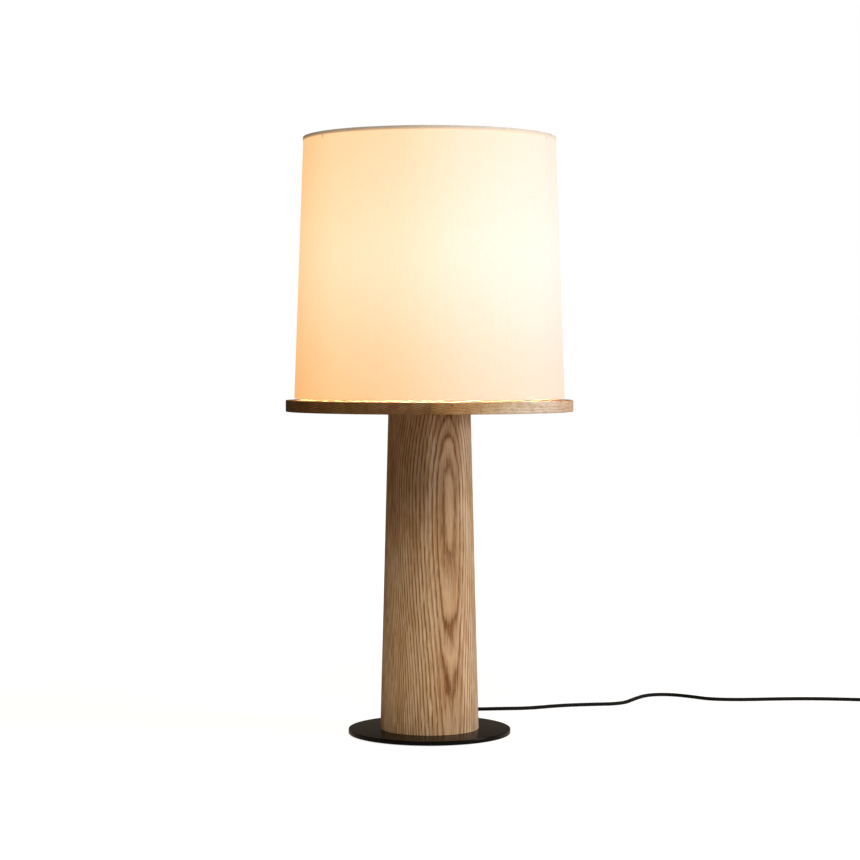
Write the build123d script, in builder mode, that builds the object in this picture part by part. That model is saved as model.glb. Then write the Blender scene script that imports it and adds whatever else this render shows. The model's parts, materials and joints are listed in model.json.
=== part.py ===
from build123d import *
import os
from math import cos, pi, radians, sin, sqrt, tan

# Column table lamp: a turned ash column on a steel disc carries a round ash tray, and a tapered
# drum shade hangs from a harp just clear of the tray. Millimetres. The origin is the centre of
# the underside, +Z is up, and the cord leaves at the back (+Y) and runs off to the right (+X).

# ---- driving dimensions -----------------------------------------------------------------
pad_d, pad_t = 216.0, 1.0
plate_d, plate_t = 230.0, 6.35
column_foot_d, column_head_d, column_h = 139.7, 116.8, 450.0
tray_d, tray_t = 406.4, 16.0
seam_x = 2.0  # the glue line between the tray's two boards
shade_gap = 2.6  # between the tray and the shade
shade_bottom_d, shade_top_d, shade_h = 382.0, 355.6, 367.0
fabric_t, liner_t = 0.5, 0.8
ring_wire_d = 4.0
hem_t, hem_h = 0.4, 5.0

pipe_d, pipe_bore_d = 10.0, 7.4
neck_d, neck_h = 20.0, 70.0
harp_wire_d, harp_foot_x, harp_wide_x = 3.6, 38.0, 58.0
spider_drop = 20.0  # from the shade's top edge down to the spider's hub
spider_wire_d = 3.0
first_arm_angle = -145.0
bulb_d = 60.0
cap_r = 12.95  # the bulb's screw cap

cord_d = 5.5
exit_z = 22.0
sleeve_end_y = 96.0

# ---- heights ----------------------------------------------------------------------------
plate_top = pad_t + plate_t
column_top = plate_top + column_h
tray_top = column_top + tray_t
shade_bottom = tray_top + shade_gap
shade_top = shade_bottom + shade_h
washer_t = 2.0
neck_base = tray_top + washer_t
neck_top = neck_base + neck_h
saddle_t = 1.6
holder_base = neck_top + saddle_t
hub_z = shade_top - spider_drop

os.makedirs("parts", exist_ok=True)


def keep(piece, label):
    """Label a finished piece and write its STEP file."""
    piece.part.label = label
    export_step(piece.part, f"parts/{label}.step")


def shade_r(z):
    """The fabric's outside radius at a height."""
    share = (z - shade_bottom) / shade_h
    return (shade_bottom_d + (shade_top_d - shade_bottom_d) * share) / 2


# ---- base and column --------------------------------------------------------------------
with BuildPart() as base_pad:
    Cylinder(pad_d / 2, pad_t, align=(Align.CENTER, Align.CENTER, Align.MIN))
keep(base_pad, "base_pad")

screw_count, screw_circle_r, screw_r, screw_l = 4, 45.0, 2.0, 26.0
screw_head_r = 4.0
with BuildPart() as base_plate:
    with BuildSketch(Plane.XY.offset(pad_t)):
        Circle(plate_d / 2)
    extrude(amount=plate_t)
    fillet(base_plate.edges(), 0.8)
    with Locations(Plane.XY.offset(pad_t).rotated((180, 0, 0))):
        with PolarLocations(screw_circle_r, screw_count, start_angle=45):
            CounterSinkHole(screw_r, screw_head_r)
keep(base_plate, "base_plate")

with BuildPart() as base_screws:
    with PolarLocations(screw_circle_r, screw_count, start_angle=45):
        with Locations((0, 0, pad_t)):
            Cone(screw_head_r, screw_r, screw_head_r - screw_r, align=(Align.CENTER, Align.CENTER, Align.MIN))
            Cylinder(screw_r, screw_l, align=(Align.CENTER, Align.CENTER, Align.MIN))
keep(base_screws, "base_screws")

recess_r, recess_h = 24.0, 44.0  # the hollow in the column's foot, where the cord turns upwards
bore_r = pipe_d / 2 + 0.25
recess_top = plate_top + recess_h
foot_r, head_r = column_foot_d / 2, column_head_d / 2
spot_y = 68.8  # the flat seat of the cord bushing
bushing_r, bushing_l = 4.7, 18.0
channel_r = 3.4
dowel_x, dowel_r, dowel_half_l = 38.0, 4.0, 12.0
with BuildPart() as column:
    with BuildSketch(Plane.XZ):
        Polygon(
            (recess_r, plate_top),
            (foot_r - 0.6, plate_top),
            (foot_r, plate_top + 0.6),
            (head_r, column_top - 0.6),
            (head_r - 0.6, column_top),
            (bore_r, column_top),
            (bore_r, recess_top),
            (recess_r, recess_top),
            align=None,
        )
    revolve(axis=Axis.Z)
    with Locations(Location((0, spot_y, exit_z), (90, 0, 0))):
        Cylinder(channel_r, spot_y, align=(Align.CENTER, Align.CENTER, Align.MIN), mode=Mode.SUBTRACT)
        Cylinder(bushing_r, bushing_l, align=(Align.CENTER, Align.CENTER, Align.MIN), mode=Mode.SUBTRACT)
        Cylinder(7.5, 4.0, align=(Align.CENTER, Align.CENTER, Align.MAX), mode=Mode.SUBTRACT)
    with PolarLocations(screw_circle_r, screw_count, start_angle=45):
        with Locations((0, 0, pad_t)):
            Cylinder(screw_r, screw_l, align=(Align.CENTER, Align.CENTER, Align.MIN), mode=Mode.SUBTRACT)
    with GridLocations(2 * dowel_x, 0, 2, 1):
        with Locations((0, 0, column_top)):
            Hole(dowel_r, dowel_half_l)
keep(column, "column")

with BuildPart() as cord_bushing:
    with BuildSketch(Plane.YZ):
        Polygon(
            (spot_y - bushing_l, exit_z + cord_d / 2 + 0.05),
            (spot_y - bushing_l, exit_z + bushing_r),
            (spot_y, exit_z + bushing_r),
            (spot_y, exit_z + 7.0),
            (spot_y + 2.6, exit_z + 7.0),
            (spot_y + 3.2, exit_z + 6.2),
            (spot_y + 3.2, exit_z + 5.6),
            (sleeve_end_y - 0.6, exit_z + 3.8),
            (sleeve_end_y, exit_z + 3.4),
            (sleeve_end_y, exit_z + cord_d / 2 + 0.05),
            align=None,
        )
    revolve(axis=Axis((0, 0, exit_z), (0, 1, 0)))
    # grooves that let the tapered sleeve bend
    for groove in range(4):
        with BuildSketch(Plane.XZ.offset(-(spot_y + 8.0 + 5.0 * groove))):
            with Locations((0, exit_z)):
                Circle(8.0)
                Circle(4.4 - 0.28 * groove, mode=Mode.SUBTRACT)
        extrude(amount=-1.4, mode=Mode.SUBTRACT)
keep(cord_bushing, "cord_bushing")

lead_turn_r = 20.0
pipe_bottom = exit_z + lead_turn_r
pipe_top = holder_base + 8.0
with BuildPart() as inner_lead:
    with BuildLine() as lead_route:
        FilletPolyline(
            (0, sleeve_end_y, exit_z), (0, 0, exit_z), (0, 0, pipe_top + 1.0), radius=lead_turn_r
        )
    with BuildSketch(Plane.XZ.offset(-sleeve_end_y)):
        with Locations((0, exit_z)):
            Circle(cord_d / 2)
    sweep(path=lead_route.line)
keep(inner_lead, "inner_lead")

with BuildPart() as lamp_pipe:
    with BuildSketch(Plane.XY.offset(pipe_bottom)):
        Circle(pipe_d / 2)
        Circle(pipe_bore_d / 2, mode=Mode.SUBTRACT)
    extrude(amount=pipe_top - pipe_bottom)
keep(lamp_pipe, "lamp_pipe")

nut_t, nut_r = 4.0, 8.1
with BuildPart() as bottom_washer:
    with BuildSketch(Plane.XY.offset(recess_top - washer_t)):
        Circle(15.0)
        Circle(bore_r, mode=Mode.SUBTRACT)
    extrude(amount=washer_t)
keep(bottom_washer, "bottom_washer")

for label, nut_base in (("bottom_nut", recess_top - washer_t - nut_t), ("tray_nut", neck_base)):
    with BuildPart() as pipe_nut:
        with BuildSketch(Plane.XY.offset(nut_base)):
            RegularPolygon(nut_r, 6)
            Circle(pipe_d / 2, mode=Mode.SUBTRACT)
        extrude(amount=nut_t)
    keep(pipe_nut, label)

# ---- tray -------------------------------------------------------------------------------
for label, side in (("tray_left_board", Keep.BOTTOM), ("tray_right_board", Keep.TOP)):
    with BuildPart() as tray_board:
        with BuildSketch(Plane.XY.offset(column_top)):
            Circle(tray_d / 2)
        extrude(amount=tray_t)
        fillet(tray_board.edges(), 1.0)
        with Locations((0, 0, tray_top)):
            Hole(bore_r)
        with GridLocations(2 * dowel_x, 0, 2, 1):
            with Locations((0, 0, column_top)):
                Cylinder(
                    dowel_r, dowel_half_l, align=(Align.CENTER, Align.CENTER, Align.MIN), mode=Mode.SUBTRACT
                )
        split(bisect_by=Plane.YZ.offset(seam_x), keep=side)
    keep(tray_board, label)

with BuildPart() as tray_dowels:
    with GridLocations(2 * dowel_x, 0, 2, 1):
        with Locations((0, 0, column_top)):
            Cylinder(dowel_r, 2 * dowel_half_l - 0.6)
keep(tray_dowels, "tray_dowels")

with BuildPart() as tray_washer:
    with BuildSketch(Plane.XY.offset(tray_top)):
        Circle(17.0)
        Circle(bore_r, mode=Mode.SUBTRACT)
    extrude(amount=washer_t)
keep(tray_washer, "tray_washer")

# ---- neck and lampholder ----------------------------------------------------------------
neck_bore_r = nut_r + 0.4
with BuildPart() as neck:
    with BuildSketch(Plane.XZ):
        Polygon(
            (neck_bore_r, neck_base),
            (neck_d / 2, neck_base),
            (neck_d / 2, neck_top - 3.0),
            (neck_d / 2 - 1.5, neck_top),
            (bore_r, neck_top),
            (bore_r, neck_top - 2.5),
            (neck_bore_r, neck_top - 4.0),
            align=None,
        )
    revolve(axis=Axis.Z)
keep(neck, "neck")

holder_r = 16.5
cap_h, shell_h = 22.0, 40.0
shell_base = holder_base + cap_h - 3.0
shell_top = shell_base + shell_h
with BuildPart() as socket_cap:
    with BuildSketch(Plane.XZ):
        Polygon(
            (pipe_d / 2, holder_base),
            (8.0, holder_base),
            (8.0, holder_base + 5.0),
            (holder_r - 2.5, holder_base + 11.0),
            (holder_r + 0.9, holder_base + 17.0),
            (holder_r + 0.9, holder_base + cap_h),
            (holder_r + 0.1, holder_base + cap_h),
            (holder_r + 0.1, holder_base + 17.4),
            (holder_r - 3.2, holder_base + 12.0),
            (7.0, holder_base + 7.5),
            (pipe_d / 2, holder_base + 7.5),
            align=None,
        )
    revolve(axis=Axis.Z)
keep(socket_cap, "socket_cap")

with BuildPart() as socket_shell:
    with BuildSketch(Plane.XZ):
        Polygon(
            (holder_r - 0.6, shell_base),
            (holder_r, shell_base),
            (holder_r, shell_top - 3.0),
            (holder_r + 0.8, shell_top - 1.5),
            (holder_r, shell_top),
            (holder_r - 0.6, shell_top),
            align=None,
        )
    revolve(axis=Axis.Z)
keep(socket_shell, "socket_shell")

liner_r = holder_r - 0.7
with BuildPart() as socket_liner:
    with BuildSketch(Plane.XY.offset(shell_base)):
        Circle(liner_r)
        Circle(liner_r - 0.7, mode=Mode.SUBTRACT)
    extrude(amount=shell_h + 1.0)
keep(socket_liner, "socket_liner")

block_base, block_h, block_r = shell_base + 2.0, 9.0, 14.8
terminal_x = 9.5
with BuildPart() as terminal_block:
    with BuildSketch(Plane.XY.offset(block_base)):
        Circle(block_r)
        with GridLocations(2 * terminal_x, 0, 2, 1):
            Circle(1.6, mode=Mode.SUBTRACT)
    extrude(amount=block_h)
keep(terminal_block, "terminal_block")

with BuildPart() as terminal_screws:
    with GridLocations(2 * terminal_x, 0, 2, 1):
        with Locations((0, 0, block_base - 1.8)):
            Cylinder(3.0, 1.8, align=(Align.CENTER, Align.CENTER, Align.MIN))
            Cylinder(1.6, 9.0, align=(Align.CENTER, Align.CENTER, Align.MIN))
keep(terminal_screws, "terminal_screws")

screw_shell_r, screw_shell_t = cap_r + 0.3, 0.5
screw_shell_base = block_base + block_h
with BuildPart() as screw_shell:
    with BuildSketch(Plane.XZ):
        Polygon(
            (5.0, screw_shell_base),
            (screw_shell_r + screw_shell_t, screw_shell_base),
            (screw_shell_r + screw_shell_t, shell_top - 1.0),
            (screw_shell_r, shell_top - 1.0),
            (screw_shell_r, screw_shell_base + screw_shell_t),
            (5.0, screw_shell_base + screw_shell_t),
            align=None,
        )
    revolve(axis=Axis.Z)
keep(screw_shell, "screw_shell")

with BuildPart() as centre_contact:
    with Locations((0, 0, screw_shell_base)):
        Box(7.0, 3.0, 2.4, align=(Align.CENTER, Align.CENTER, Align.MIN))
keep(centre_contact, "centre_contact")

# ---- bulb -------------------------------------------------------------------------------
cap_base = screw_shell_base + 6.0
cap_top = cap_base + 20.0
with BuildPart() as bulb_cap:
    with BuildSketch(Plane.XZ):
        Polygon(
            (cap_r - 3.0, cap_base),
            (cap_r, cap_base + 2.0),
            (cap_r, cap_top),
            (cap_r - 0.5, cap_top),
            (cap_r - 0.5, cap_base + 2.3),
            (cap_r - 3.4, cap_base + 0.5),
            align=None,
        )
    revolve(axis=Axis.Z)
keep(bulb_cap, "bulb_cap")

with BuildPart() as bulb_contact:
    with BuildSketch(Plane.XZ):
        Polygon(
            (0, cap_base - 3.4),
            (2.4, cap_base - 3.4),
            (4.5, cap_base - 2.2),
            (4.5, cap_base - 1.6),
            (0, cap_base - 1.6),
            align=None,
        )
    revolve(axis=Axis.Z)
keep(bulb_contact, "bulb_contact")

with BuildPart() as bulb_insulator:
    with BuildSketch(Plane.XZ):
        Polygon(
            (0, cap_base - 1.6),
            (5.5, cap_base - 1.6),
            (cap_r - 3.4, cap_base + 0.5),
            (cap_r - 4.4, cap_base + 2.5),
            (0, cap_base + 2.5),
            align=None,
        )
    revolve(axis=Axis.Z)
keep(bulb_insulator, "bulb_insulator")

glass_r, glass_neck_r, glass_t = bulb_d / 2, 12.4, 0.9
globe_z = cap_top + 46.0
shoulder_angle = radians(-38.0)
shoulder_r = glass_r * cos(shoulder_angle)
shoulder_z = globe_z + glass_r * sin(shoulder_angle)
neck_corner_z = shoulder_z - (shoulder_r - glass_neck_r - 1.2) * tan(radians(90.0) + shoulder_angle)
with BuildPart() as bulb_glass:
    with BuildSketch(Plane.XZ):
        with BuildLine():
            FilletPolyline(
                (glass_neck_r, cap_top - 6.0),
                (glass_neck_r, cap_top + 0.1),
                (glass_neck_r + 1.2, neck_corner_z),
                (shoulder_r, shoulder_z),
                radius=(1.0, 26.0),
            )
            CenterArc((0, globe_z), glass_r, -38.0, 128.0)
            Line((0, globe_z + glass_r), (0, cap_top - 6.0))
            Line((0, cap_top - 6.0), (glass_neck_r, cap_top - 6.0))
        make_face()
    revolve(axis=Axis.Z)
    offset(amount=-glass_t, openings=bulb_glass.faces().sort_by(Axis.Z)[0])
keep(bulb_glass, "bulb_glass")

stem_r = 4.0
filament_r, filament_l = 1.0, 34.0
with BuildPart() as bulb_filament:
    with Locations((0, 0, cap_top - 6.0)):
        Cylinder(stem_r, 22.0, align=(Align.CENTER, Align.CENTER, Align.MIN))
    with PolarLocations(stem_r + 2.0, 4):
        with Locations((0, 0, cap_top + 14.0)):
            Cylinder(filament_r, filament_l, align=(Align.CENTER, Align.CENTER, Align.MIN))
    for carrier_z in (cap_top + 15.0, cap_top + 14.0 + filament_l - 1.2):
        with Locations((0, 0, carrier_z)):
            Cylinder(stem_r + 2.6, 1.2, align=(Align.CENTER, Align.CENTER, Align.MIN))
keep(bulb_filament, "bulb_filament")

# ---- harp -------------------------------------------------------------------------------
prong_h = 9.4
leg_foot_z = holder_base + prong_h + 0.1
with BuildPart() as harp_saddle:
    with BuildSketch(Plane.XY.offset(neck_top)):
        SlotOverall(2 * harp_foot_x + 9.0, 12.0)
        Circle(pipe_d / 2, mode=Mode.SUBTRACT)
    extrude(amount=saddle_t)
    with GridLocations(2 * harp_foot_x, 0, 2, 1):
        with Locations((0, 0, holder_base)):
            Box(1.6, 3.6, prong_h, align=(Align.CENTER, Align.CENTER, Align.MIN))
keep(harp_saddle, "harp_saddle")

harp_bridge_z = hub_z - 6.0  # the wire's centre where it passes through the top fitting
harp_half = (
    (harp_foot_x, leg_foot_z),
    (harp_foot_x, leg_foot_z + 38.0),
    (harp_wide_x, leg_foot_z + 96.0),
    (harp_wide_x, leg_foot_z + 176.0),
    (harp_foot_x - 6.0, harp_bridge_z),
)
harp_left_half = [(-x, z) for x, z in reversed(harp_half)]
with BuildPart() as harp:
    with BuildLine(Plane.XZ) as harp_route:
        FilletPolyline(*harp_half, *harp_left_half, radius=(40, 90, 70, 24, 24, 70, 90, 40))
    with BuildSketch(Plane.XY.offset(leg_foot_z)):
        with Locations((harp_foot_x, 0)):
            Circle(harp_wire_d / 2)
    sweep(path=harp_route.line)
keep(harp, "harp")

stud_r, stud_h = 3.175, 15.0
with BuildPart() as harp_stud:
    with BuildSketch(Plane.XZ):
        Polygon(
            (0, harp_bridge_z - 3.6),
            (5.0, harp_bridge_z - 3.6),
            (5.0, hub_z - 2.2),
            (9.5, hub_z - 1.6),
            (9.5, hub_z),
            (stud_r, hub_z),
            (stud_r, hub_z + stud_h - 0.8),
            (stud_r - 0.8, hub_z + stud_h),
            (0, hub_z + stud_h),
            align=None,
        )
    revolve(axis=Axis.Z)
    with Locations(Location((0, 0, harp_bridge_z), (0, 90, 0))):
        Cylinder(harp_wire_d / 2, 30.0, mode=Mode.SUBTRACT)
keep(harp_stud, "harp_stud")

ferrule_r, ferrule_h = 4.2, 16.0
for label, foot_x in (("ferrule_left", -harp_foot_x), ("ferrule_right", harp_foot_x)):
    with BuildPart() as ferrule:
        with BuildSketch(Plane.XZ):
            with Locations((foot_x, holder_base)):
                Polygon(
                    (2.75, 0),
                    (ferrule_r, 0),
                    (ferrule_r, ferrule_h - 3.0),
                    (3.0, ferrule_h),
                    (1.9, ferrule_h),
                    (1.9, ferrule_h - 4.5),
                    (2.75, ferrule_h - 5.5),
                    align=None,
                )
        revolve(axis=Axis((foot_x, 0, 0), (0, 0, 1)))
    keep(ferrule, label)

# ---- shade ------------------------------------------------------------------------------
cloth_bottom = shade_bottom + hem_t
cloth_top = shade_top - hem_t
with BuildPart() as shade_fabric:
    with BuildSketch(Plane.XZ):
        Polygon(
            (shade_r(cloth_bottom) - fabric_t, cloth_bottom),
            (shade_r(cloth_bottom), cloth_bottom),
            (shade_r(cloth_top), cloth_top),
            (shade_r(cloth_top) - fabric_t, cloth_top),
            align=None,
        )
    revolve(axis=Axis.Z)
keep(shade_fabric, "shade_fabric")

skin_t = fabric_t + liner_t
with BuildPart() as shade_liner:
    with BuildSketch(Plane.XZ):
        Polygon(
            (shade_r(cloth_bottom) - skin_t, cloth_bottom),
            (shade_r(cloth_bottom) - fabric_t, cloth_bottom),
            (shade_r(cloth_top) - fabric_t, cloth_top),
            (shade_r(cloth_top) - skin_t, cloth_top),
            align=None,
        )
    revolve(axis=Axis.Z)
keep(shade_liner, "shade_liner")

bottom_ring_z = shade_bottom + hem_t + ring_wire_d / 2 + 0.1
top_ring_z = shade_top - hem_t - ring_wire_d / 2 - 0.1
ring_inset = skin_t + ring_wire_d / 2 + 0.2
for label, ring_z in (("bottom_ring", bottom_ring_z), ("top_ring", top_ring_z)):
    with BuildPart() as wire_ring:
        with Locations((0, 0, ring_z)):
            Torus(shade_r(ring_z) - ring_inset, ring_wire_d / 2)
    keep(wire_ring, label)

top_ring_r = shade_r(top_ring_z) - ring_inset
arm_angles = [first_arm_angle + 120.0 * k for k in range(3)]
arm_hub_r, hub_r, hub_t = 12.0, 14.0, 2.0
with BuildPart() as spider:
    with BuildSketch(Plane.XY.offset(hub_z)):
        Circle(hub_r)
        Circle(stud_r + 0.4, mode=Mode.SUBTRACT)
    extrude(amount=hub_t)
    for arm_angle in arm_angles:
        outwards = Vector(cos(radians(arm_angle)), sin(radians(arm_angle)), 0)
        arm_plane = Plane(origin=(0, 0, 0), x_dir=outwards, z_dir=outwards.cross(Vector(0, 0, 1)))
        arm_start = outwards * arm_hub_r + Vector(0, 0, hub_z + spider_wire_d / 2)
        with BuildLine(arm_plane) as arm_route:
            FilletPolyline(
                (arm_hub_r, hub_z + spider_wire_d / 2),
                (top_ring_r - 26.0, hub_z + spider_wire_d / 2),
                (top_ring_r - ring_wire_d / 2 - 0.8, top_ring_z),
                radius=14.0,
            )
        with BuildSketch(Plane(origin=arm_start, z_dir=outwards)):
            Circle(spider_wire_d / 2)
        sweep(path=arm_route.line)
keep(spider, "spider")

fold_in = skin_t + ring_wire_d + 0.4  # how far the hem reaches round the ring
notch_w = 7.0
with BuildPart() as top_hem:
    with BuildSketch(Plane.XZ):
        Polygon(
            (shade_r(shade_top - hem_h), shade_top - hem_h),
            (shade_r(shade_top - hem_h) + hem_t, shade_top - hem_h),
            (shade_r(shade_top) + hem_t, shade_top),
            (shade_r(shade_top) - fold_in - hem_t, shade_top),
            (shade_r(shade_top - hem_h) - fold_in - hem_t, shade_top - hem_h),
            (shade_r(shade_top - hem_h) - fold_in, shade_top - hem_h),
            (shade_r(cloth_top) - fold_in, cloth_top),
            (shade_r(cloth_top), cloth_top),
            align=None,
        )
    revolve(axis=Axis.Z)
    # the inner fold is notched where each arm comes through
    for arm_angle in arm_angles:
        with Locations(Location((0, 0, shade_top - hem_h), (0, 0, arm_angle))):
            with Locations((top_ring_r - ring_wire_d / 2, 0, 0)):
                Box(6.0, notch_w, 2 * (hem_h - hem_t), mode=Mode.SUBTRACT)
keep(top_hem, "top_hem")

with BuildPart() as bottom_hem:
    with BuildSketch(Plane.XZ):
        Polygon(
            (shade_r(shade_bottom), shade_bottom),
            (shade_r(cloth_bottom), cloth_bottom),
            (shade_r(cloth_bottom) - fold_in, cloth_bottom),
            (shade_r(shade_bottom + hem_h) - fold_in, shade_bottom + hem_h),
            (shade_r(shade_bottom + hem_h) - fold_in - hem_t, shade_bottom + hem_h),
            (shade_r(shade_bottom) - fold_in - hem_t, shade_bottom),
            align=None,
        )
    revolve(axis=Axis.Z)
keep(bottom_hem, "bottom_hem")

finial_base = hub_z + hub_t
finial_neck_r, finial_ball_r = 4.6, 8.0
ball_z = finial_base + 13.0
ball_drop = sqrt(finial_ball_r**2 - finial_neck_r**2)
with BuildPart() as finial:
    with BuildSketch(Plane.XZ):
        Polygon(
            (0, finial_base),
            (7.0, finial_base),
            (7.0, finial_base + 2.0),
            (finial_neck_r, finial_base + 4.0),
            (finial_neck_r, ball_z - ball_drop),
            (0, ball_z - ball_drop),
            align=None,
        )
    revolve(axis=Axis.Z)
    with Locations((0, 0, ball_z)):
        Sphere(finial_ball_r)
    with Locations((0, 0, finial_base)):
        Cylinder(
            stud_r + 0.08, stud_h, align=(Align.CENTER, Align.CENTER, Align.MIN), mode=Mode.SUBTRACT
        )
keep(finial, "finial")

# ---- cord -------------------------------------------------------------------------------
floor_z = cord_d / 2
fitting_z = 8.0  # the cord's height where it enters the switch and the plug
cord_x = 724.0  # the line of the switch, the coil's edge and the plug
lamp_side_route = [
    (0, sleeve_end_y, exit_z),
    (0, 122, exit_z),
    (3, 151, 9.5),
    (9, 178, floor_z),
    (32, 200, floor_z),
    (72, 200, floor_z),
    (112, 206, floor_z),
    (150, 209, floor_z),
    (196, 235, floor_z),
    (242, 247, floor_z),
    (296, 254, floor_z),
    (320, 306, floor_z),
    (342, 344, floor_z),
    (376, 352, floor_z),
    (410, 328, floor_z),
    (436, 300, floor_z),
    (486, 295, floor_z),
    (540, 303, floor_z),
    (598, 306, floor_z),
    (652, 298, floor_z),
    (700, 290, floor_z),
    (722, 262, floor_z + 0.4),
    (cord_x, 236, fitting_z),
    (cord_x, 214, fitting_z),
]
plug_side_route = [
    (cord_x, 176, fitting_z),
    (cord_x, 156, fitting_z),
    (cord_x + 0.5, 137, floor_z + 0.6),
    (cord_x, 120, floor_z),
]
tail_route = [(cord_x, 82, fitting_z), (cord_x, 52, fitting_z)]


def bend_radii(route):
    """The largest arc that the two runs at each corner allow."""
    points = [Vector(*p) for p in route]
    radii = []
    for before, corner, after in zip(points, points[1:], points[2:]):
        arriving, leaving = corner - before, after - corner
        turn = radians(arriving.get_angle(leaving))
        radii.append(0.45 * min(arriving.length, leaving.length) / tan(turn / 2))
    return radii


def cord_tube(route, label):
    """Sweep the cord's section along a route of straight runs and tangent arcs."""
    points = [Vector(*p) for p in route]
    radii = bend_radii(route)
    with BuildPart() as tube:
        with BuildLine() as line:
            if radii:
                FilletPolyline(*points, radius=radii)
            else:
                Line(*points)
        with BuildSketch(Plane(origin=points[0], z_dir=points[1] - points[0])):
            Circle(cord_d / 2)
        sweep(path=line.line)
    length = line.wires()[0].length
    share = tube.part.volume / (pi * cord_d**2 / 4 * length)
    print(f"{label}: {length:.1f} mm, volume / (section x length) {share:.4f}")
    print("  bend radii", [round(r) for r in radii])
    keep(tube, label)


cord_tube(lamp_side_route, "cord_lamp_side")
cord_tube(plug_side_route, "cord_plug_side")
cord_tube(tail_route, "cord_tail")

turn_r_outer = 32.75  # the outer of the coil's two columns of turns
coil_x, coil_y = cord_x - turn_r_outer, 100.0
coil_outer_r = turn_r_outer + cord_d / 2
coil_inner_r = turn_r_outer - 1.5 * cord_d
with BuildPart() as cord_coil:
    with BuildSketch():
        with Locations((coil_x, coil_y)):
            Circle(coil_outer_r)
            Circle(coil_inner_r, mode=Mode.SUBTRACT)
    extrude(amount=2 * cord_d)
    fillet(cord_coil.edges(), 2.2)
keep(cord_coil, "cord_coil")

# ---- in-line switch ---------------------------------------------------------------------
switch_l, switch_w, switch_h, switch_wall = 62.0, 25.0, 17.0, 1.8
switch_y = 195.0
split_z = fitting_z
rocker_l, rocker_w, pivot_z = 20.0, 11.0, 12.2
rocker_tilt = 8.0
switch_screw_y = 17.5
with BuildSketch() as switch_plan:
    with Locations((cord_x, switch_y)):
        Rectangle(switch_w, switch_l - 22.0)
        Rectangle(10.0, switch_l)
    make_hull()


def cord_hole():
    """The way of the cord through the switch, split along the joint of its halves."""
    with Locations(Location((cord_x, switch_y, fitting_z), (90, 0, 0))):
        Cylinder(cord_d / 2 + 0.1, switch_l + 2.0, mode=Mode.SUBTRACT)


with BuildPart() as switch_base:
    extrude(switch_plan.sketch, amount=split_z)
    fillet(switch_base.edges().group_by(Axis.Z)[0], 2.0)
    with Locations((cord_x, switch_y, switch_wall)):
        Box(
            switch_w - 2 * switch_wall,
            27.0,
            switch_h,
            align=(Align.CENTER, Align.CENTER, Align.MIN),
            mode=Mode.SUBTRACT,
        )
    cord_hole()
    with Locations((cord_x - 8.0, switch_y + switch_screw_y, 0), (cord_x + 8.0, switch_y - switch_screw_y, 0)):
        Cylinder(2.6, 4.0, mode=Mode.SUBTRACT)
        Cylinder(1.3, 4 * split_z, mode=Mode.SUBTRACT)
keep(switch_base, "switch_base")

with BuildPart() as switch_cover:
    extrude(Pos(0, 0, split_z) * switch_plan.sketch, amount=switch_h - split_z)
    fillet(switch_cover.edges().group_by(Axis.Z)[-1], 2.4)
    with Locations((cord_x, switch_y, split_z)):
        Box(
            switch_w - 2 * switch_wall,
            27.0,
            switch_h - split_z - switch_wall,
            align=(Align.CENTER, Align.CENTER, Align.MIN),
            mode=Mode.SUBTRACT,
        )
        Box(
            rocker_w + 0.8,
            rocker_l + 0.8,
            20.0,
            align=(Align.CENTER, Align.CENTER, Align.MIN),
            mode=Mode.SUBTRACT,
        )
    cord_hole()
    with Locations((cord_x - 8.0, switch_y + switch_screw_y, 0), (cord_x + 8.0, switch_y - switch_screw_y, 0)):
        Cylinder(1.1, 2 * (split_z + 5.0), mode=Mode.SUBTRACT)
keep(switch_cover, "switch_cover")

with BuildPart() as switch_screws:
    with Locations((cord_x - 8.0, switch_y + switch_screw_y, 0.4), (cord_x + 8.0, switch_y - switch_screw_y, 0.4)):
        Cylinder(2.4, 1.6, align=(Align.CENTER, Align.CENTER, Align.MIN))
        Cylinder(1.1, 12.0, align=(Align.CENTER, Align.CENTER, Align.MIN))
keep(switch_screws, "switch_screws")

with BuildPart() as switch_rocker:
    with BuildSketch(Plane.YZ):
        Polygon(
            (1.6 - rocker_l / 2, 8.0),
            (0, 5.0),
            (rocker_l / 2 - 1.6, 8.0),
            (rocker_l / 2 - 0.2, -1.0),
            (3.0, -4.0),
            (-3.0, -4.0),
            (0.2 - rocker_l / 2, -1.0),
            align=None,
        )
    extrude(amount=rocker_w / 2, both=True)
    fillet(switch_rocker.edges().filter_by(Axis.X).group_by(Axis.Z)[-1], 1.0)
switch_rocker.part.locate(
    Location((cord_x, switch_y, pivot_z)) * Location((0, 0, 0), (rocker_tilt, 0, 0))
)
keep(switch_rocker, "switch_rocker")

# ---- plug -------------------------------------------------------------------------------
plug_back_y, plug_l, plug_w, plug_h = 62.0, 32.0, 25.0, 15.0
blade_w, blade_t, blade_l, blade_gap = 6.35, 1.5, 16.5, 12.7
plug_front_y = plug_back_y - plug_l
with BuildPart() as plug_body:
    with BuildSketch(Plane.XZ.offset(-plug_back_y)):
        with Locations((cord_x, fitting_z)):
            RectangleRounded(9.0, 9.0, 3.6)
    with BuildSketch(Plane.XZ.offset(-(plug_back_y - 15.0))):
        with Locations((cord_x, fitting_z - 0.5)):
            RectangleRounded(plug_w - 4.0, plug_h - 2.0, 4.0)
    with BuildSketch(Plane.XZ.offset(-plug_front_y)):
        with Locations((cord_x, plug_h / 2)):
            RectangleRounded(plug_w, plug_h, 4.0)
    loft()
    with Locations(Location((cord_x, plug_back_y, fitting_z), (90, 0, 0))):
        Cylinder(cord_d / 2 + 0.05, 20.0, mode=Mode.SUBTRACT)
keep(plug_body, "plug_body")

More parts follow.
